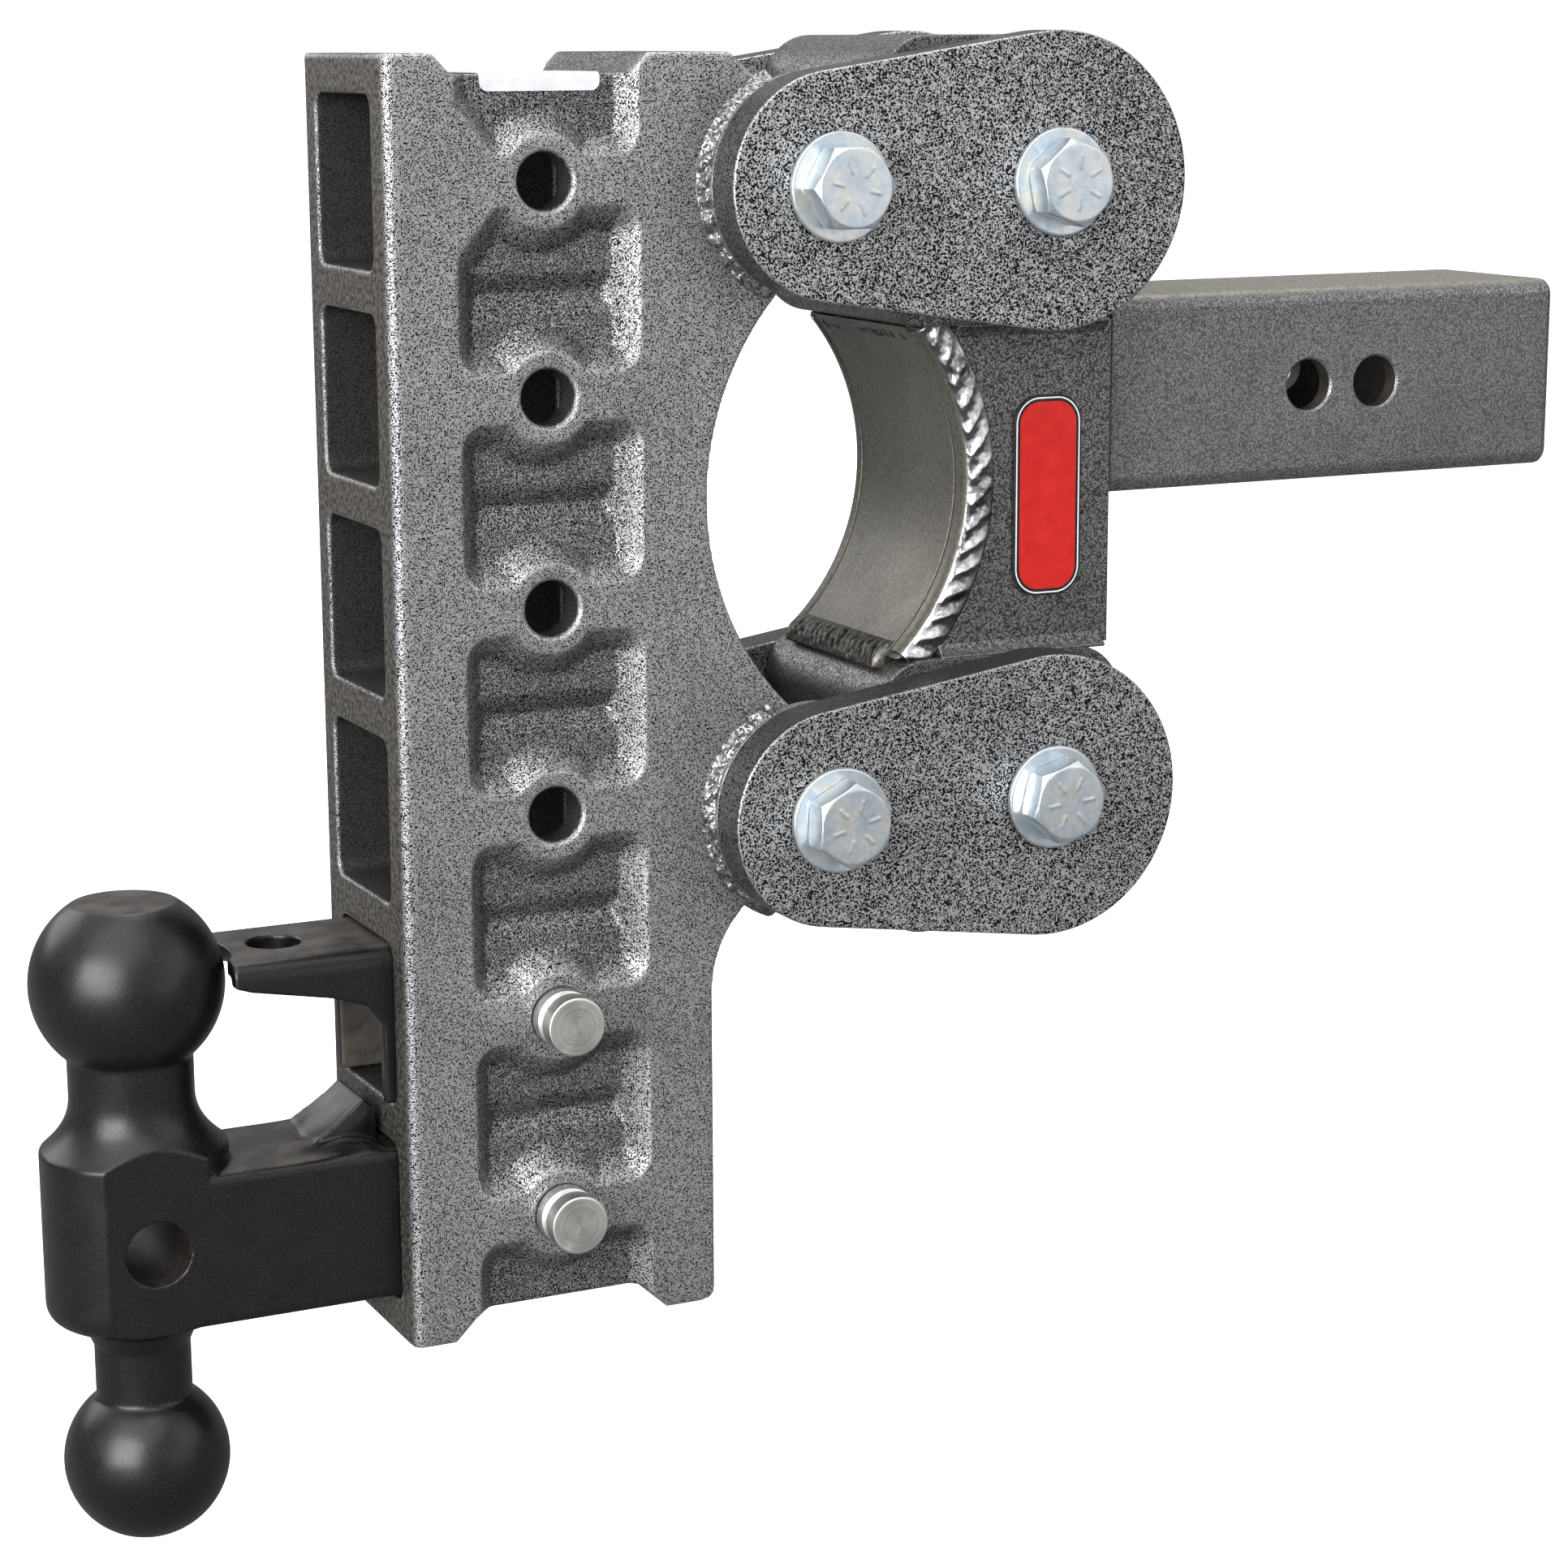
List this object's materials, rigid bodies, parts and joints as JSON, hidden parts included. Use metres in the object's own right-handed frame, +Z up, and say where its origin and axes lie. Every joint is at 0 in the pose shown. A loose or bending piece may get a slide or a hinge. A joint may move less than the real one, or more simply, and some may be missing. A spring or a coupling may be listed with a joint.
{
  "type": "trailer hitch with ball",
  "caption": "Adjustable drop hitch: square receiver shank on a rubber torsion linkage, a ladder rack of pin holes, and a two-ball mount with a pintle lock held by hitch pins.",
  "frame": {"origin": "on the centreline of the receiver shank, at its front pin hole", "axes": "+X towards the truck along the shank, +Y to the side the pins' clips are on, +Z up"},
  "size_m": [0.5281, 0.1412, 0.4564],
  "materials": {
    "hammertone_fine": "fine grey-black hammertone powder coat",
    "hammertone_bold": "coarse black and silver vein hammertone",
    "satin_dark": "smooth satin dark grey paint",
    "powder_black": "black orange-peel powder coat",
    "zinc": "pale blue-white zinc plate",
    "stainless": "turned stainless steel",
    "bronze": "plain bearing bronze",
    "bar_steel": "bare bar steel",
    "rubber": "solid black rubber cord",
    "badge_red": "gloss sticker",
    "label_white": "matt paper label"
  },
  "bodies": {
    "frame": {"shank_tube": "hammertone_fine", "near_side_plate": "hammertone_fine", "far_side_plate": "hammertone_fine", "curved_web": "satin_dark", "back_plate": "hammertone_fine", "frame_badge": "badge_red", "upper_torsion_housing": "hammertone_fine", "upper_rubber_cord_1": "rubber", "upper_rubber_cord_2": "rubber", "upper_rubber_cord_3": "rubber", "upper_rubber_cord_4": "rubber", "lower_torsion_housing": "hammertone_fine", "lower_rubber_cord_1": "rubber", "lower_rubber_cord_2": "rubber", "lower_rubber_cord_3": "rubber", "lower_rubber_cord_4": "rubber"},
    "upper_arms": {"upper_torsion_bar": "bar_steel", "upper_pivot_shaft": "bar_steel", "upper_near_arm": "hammertone_bold", "upper_near_truck_bolt": "zinc", "upper_near_truck_washer": "zinc", "upper_near_rack_bolt": "zinc", "upper_near_rack_washer": "zinc", "upper_far_arm": "hammertone_bold", "upper_far_truck_bolt": "zinc", "upper_far_truck_washer": "zinc", "upper_far_rack_bolt": "zinc", "upper_far_rack_washer": "zinc"},
    "lower_arms": {"lower_torsion_bar": "bar_steel", "lower_pivot_shaft": "bar_steel", "lower_near_arm": "hammertone_bold", "lower_near_truck_bolt": "zinc", "lower_near_truck_washer": "zinc", "lower_near_rack_bolt": "zinc", "lower_near_rack_washer": "zinc", "lower_far_arm": "hammertone_bold", "lower_far_truck_bolt": "zinc", "lower_far_truck_washer": "zinc", "lower_far_rack_bolt": "zinc", "lower_far_rack_washer": "zinc"},
    "drop_rack": {"rack": "hammertone_fine", "upper_pivot_bush": "bronze", "lower_pivot_bush": "bronze", "upper_near_pad": "hammertone_fine", "upper_far_pad": "hammertone_fine", "lower_near_pad": "hammertone_fine", "lower_far_pad": "hammertone_fine", "rack_label": "label_white", "ball_mount": "powder_black", "pintle_lock": "powder_black"},
    "upper_hitch_pin": {"upper_pin": "stainless"},
    "lower_hitch_pin": {"lower_pin": "stainless"},
    "upper_pin_clip": {"upper_clip": "zinc"},
    "lower_pin_clip": {"lower_clip": "zinc"}
  },
  "joints": [
    {"name": "upper_arm_swing", "type": "hinge", "parent": "frame", "child": "upper_arms", "pos_m": [-0.1384, 0, 0.0698], "axis": [0, 1, 0], "range_deg": [-12, 12], "stiffness_Nm_per_rad": 800, "springref_deg": 0.54},
    {"name": "lower_arm_swing", "type": "hinge", "parent": "frame", "child": "lower_arms", "pos_m": [-0.1384, 0, -0.1236], "axis": [0, 1, 0], "range_deg": [-12, 12], "stiffness_Nm_per_rad": 800, "springref_deg": 0.54},
    {"name": "rack_swing", "type": "hinge", "parent": "upper_arms", "child": "drop_rack", "pos_m": [-0.2146, 0, 0.0698], "axis": [0, 1, 0], "range_deg": [-12, 12]},
    {"name": "upper_pin_slide", "type": "slide", "parent": "drop_rack", "child": "upper_hitch_pin", "axis": [0, -1, 0], "range_m": [0, 0.003]},
    {"name": "lower_pin_slide", "type": "slide", "parent": "drop_rack", "child": "lower_hitch_pin", "axis": [0, -1, 0], "range_m": [0, 0.003]},
    {"name": "upper_clip_slide", "type": "slide", "parent": "upper_hitch_pin", "child": "upper_pin_clip", "axis": [-1, 0, 0], "range_m": [0, 0.028]},
    {"name": "lower_clip_slide", "type": "slide", "parent": "lower_hitch_pin", "child": "lower_pin_clip", "axis": [-1, 0, 0], "range_m": [0, 0.028]}
  ],
  "couplings": [
    {"joint": "lower_arm_swing", "follows": "upper_arm_swing", "ratio": 1},
    {"joint": "rack_swing", "follows": "upper_arm_swing", "ratio": -1}
  ]
}
